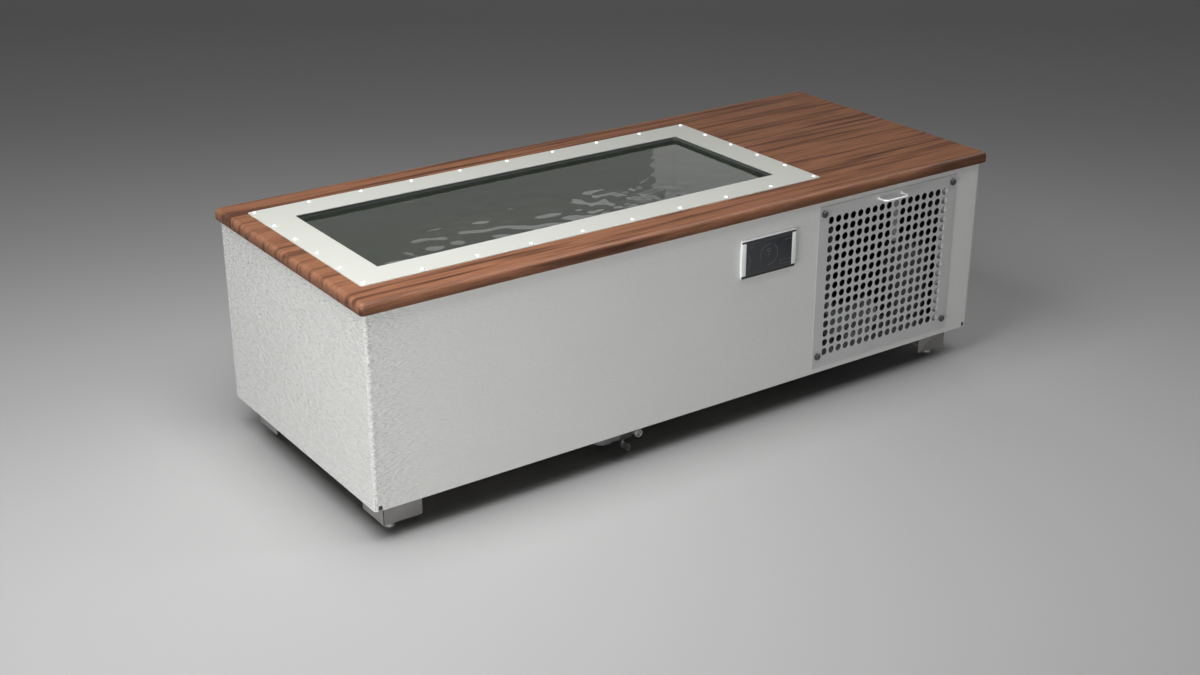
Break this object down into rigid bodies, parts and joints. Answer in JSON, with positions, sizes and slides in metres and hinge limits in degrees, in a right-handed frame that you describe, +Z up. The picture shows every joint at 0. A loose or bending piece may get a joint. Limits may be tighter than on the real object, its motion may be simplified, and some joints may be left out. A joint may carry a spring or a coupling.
{
  "type": "cold plunge tub",
  "caption": "Long insulated water tub with a wood deck, an off-white rim and a pale cabinet, with a grilled machinery bay, touch screen and drain valve.",
  "frame": {"origin": "on the floor, under the middle of the part's overall box", "axes": "+X along the tub towards the machinery bay, -Y towards the front with the screen and grille, +Z up"},
  "size_m": [2.329, 0.969, 0.735],
  "materials": {
    "powder_coat": "textured powder coat, matt, pale grey",
    "walnut": "oiled hardwood with a streaky grain along the length, satin",
    "rim_white": "off-white, fine-textured, satin",
    "basin_liner": "dark moulded liner, satin",
    "gasket_rubber": "soft foam rubber",
    "foam_board": "closed-cell foam, matt",
    "frame_black": "black paint, matt",
    "leg_steel": "brushed stainless sheet",
    "foot_steel": "dark zinc-plated steel",
    "sheet_steel": "plain galvanised sheet",
    "grille_steel": "satin mid-grey coating",
    "chrome_wire": "polished chrome plate",
    "thumb_screw_steel": "dark steel, knurled edge",
    "screen_silver": "satin silver",
    "screen_cap_black": "black ribbed plastic",
    "screen_glass": "dark glossy display glass",
    "fitting_white": "white moulded plastic",
    "pipe_white": "white pipe plastic, satin",
    "pipe_grey": "mid-grey pipe plastic",
    "drain_metal": "turned stainless",
    "valve_black": "black moulded plastic",
    "pump_paint": "grey enamel",
    "impeller_plastic": "black moulded plastic",
    "compressor_paint": "dark enamel on a welded steel shell",
    "coil_aluminium": "close aluminium fins on copper tube",
    "line_copper": "bare copper tube",
    "line_lagging": "light grey foam lagging",
    "box_paint": "grey paint"
  },
  "bodies": {
    "cabinet": {"cabinet_wrap": "powder_coat", "right_end_panel": "powder_coat", "rear_panel": "powder_coat", "wood_top": "walnut", "rim_frame": "rim_white", "tub_basin": "basin_liner", "rim_gasket": "gasket_rubber", "insulation_floor": "foam_board", "insulation_jacket": "foam_board", "base_frame": "frame_black", "fan_shroud": "frame_black", "leg_front_left": "leg_steel", "leg_front_right": "leg_steel", "leg_rear_left": "leg_steel", "leg_rear_right": "leg_steel", "bulkhead": "sheet_steel", "machinery_deck": "sheet_steel", "bay_frame": "sheet_steel", "screen_housing": "screen_silver", "screen_top_cap": "screen_cap_black", "screen_bottom_cap": "screen_cap_black", "screen_glass": "screen_glass", "jet_body": "fitting_white", "suction_fitting": "fitting_white", "suction_pipe": "pipe_white", "pump_to_filter_pipe": "pipe_white", "filter_to_chiller_pipe": "pipe_white", "return_pipe": "pipe_white", "drain_pipe": "pipe_grey", "heat_exchanger": "pipe_grey", "drain_fitting": "drain_metal", "drain_outlet": "drain_metal", "drain_valve_body": "valve_black", "filter_head": "valve_black", "power_gland": "valve_black", "pump_volute": "pump_paint", "pump_motor": "pump_paint", "fan_motor": "pump_paint", "compressor": "compressor_paint", "condenser_coil": "coil_aluminium", "liquid_line": "line_copper", "gas_line": "line_lagging", "control_box": "box_paint"},
    "grille": {"grille_panel": "grille_steel", "pull_handle": "chrome_wire"},
    "thumb_screw_top_left": {"thumb_screw_top_left": "thumb_screw_steel"},
    "thumb_screw_top_right": {"thumb_screw_top_right": "thumb_screw_steel"},
    "thumb_screw_bottom_left": {"thumb_screw_bottom_left": "thumb_screw_steel"},
    "thumb_screw_bottom_right": {"thumb_screw_bottom_right": "thumb_screw_steel"},
    "levelling_foot_front_left": {"levelling_foot_front_left": "foot_steel"},
    "levelling_foot_front_right": {"levelling_foot_front_right": "foot_steel"},
    "levelling_foot_rear_left": {"levelling_foot_rear_left": "foot_steel"},
    "levelling_foot_rear_right": {"levelling_foot_rear_right": "foot_steel"},
    "fan_rotor": {"fan_rotor": "impeller_plastic"},
    "pump_impeller": {"pump_impeller": "impeller_plastic"},
    "drain_lever": {"drain_handle": "valve_black", "drain_valve_ball": "drain_metal"},
    "jet_nozzle": {"jet_nozzle": "fitting_white"},
    "filter_bowl": {"filter_bowl": "pipe_white", "filter_cartridge": "foam_board"}
  },
  "joints": [
    {"name": "grille_pull", "type": "slide", "parent": "cabinet", "child": "grille", "axis": [0, -1, 0], "range_m": [0, 0.12]},
    {"name": "thumb_screw_top_left_turn", "type": "hinge", "parent": "grille", "child": "thumb_screw_top_left", "pos_m": [0.4575, -0.44625, 0.651], "axis": [0, 1, 0], "continuous": true},
    {"name": "thumb_screw_top_right_turn", "type": "hinge", "parent": "grille", "child": "thumb_screw_top_right", "pos_m": [1.0195, -0.44625, 0.651], "axis": [0, 1, 0], "continuous": true},
    {"name": "thumb_screw_bottom_left_turn", "type": "hinge", "parent": "grille", "child": "thumb_screw_bottom_left", "pos_m": [0.4575, -0.44625, 0.165], "axis": [0, 1, 0], "continuous": true},
    {"name": "thumb_screw_bottom_right_turn", "type": "hinge", "parent": "grille", "child": "thumb_screw_bottom_right", "pos_m": [1.0195, -0.44625, 0.165], "axis": [0, 1, 0], "continuous": true},
    {"name": "levelling_foot_front_left_turn", "type": "hinge", "parent": "cabinet", "child": "levelling_foot_front_left", "pos_m": [-1.062, -0.35595, 0], "axis": [0, 0, 1], "continuous": true},
    {"name": "levelling_foot_front_right_turn", "type": "hinge", "parent": "cabinet", "child": "levelling_foot_front_right", "pos_m": [1.062, -0.35595, 0], "axis": [0, 0, 1], "continuous": true},
    {"name": "levelling_foot_rear_left_turn", "type": "hinge", "parent": "cabinet", "child": "levelling_foot_rear_left", "pos_m": [-1.062, 0.38205, 0], "axis": [0, 0, 1], "continuous": true},
    {"name": "levelling_foot_rear_right_turn", "type": "hinge", "parent": "cabinet", "child": "levelling_foot_rear_right", "pos_m": [1.062, 0.38205, 0], "axis": [0, 0, 1], "continuous": true},
    {"name": "fan_spin", "type": "hinge", "parent": "cabinet", "child": "fan_rotor", "pos_m": [0.898, 0.42305, 0.371], "axis": [0, 1, 0], "continuous": true},
    {"name": "impeller_spin", "type": "hinge", "parent": "cabinet", "child": "pump_impeller", "pos_m": [0.5915, -0.33395, 0.216], "axis": [1, 0, 0], "continuous": true},
    {"name": "drain_lever_turn", "type": "hinge", "parent": "cabinet", "child": "drain_lever", "pos_m": [-0.282, -0.40395, 0.084], "axis": [0, 0, -1], "range_deg": [0, 90]},
    {"name": "jet_nozzle_swivel", "type": "hinge", "parent": "cabinet", "child": "jet_nozzle", "pos_m": [0.423, -0.18695, 0.6], "axis": [0, 0, 1], "range_deg": [-20, 20]},
    {"name": "filter_bowl_unscrew", "type": "hinge", "parent": "cabinet", "child": "filter_bowl", "pos_m": [0.5915, -0.13695, 0.37], "axis": [0, 0, 1], "continuous": true}
  ]
}
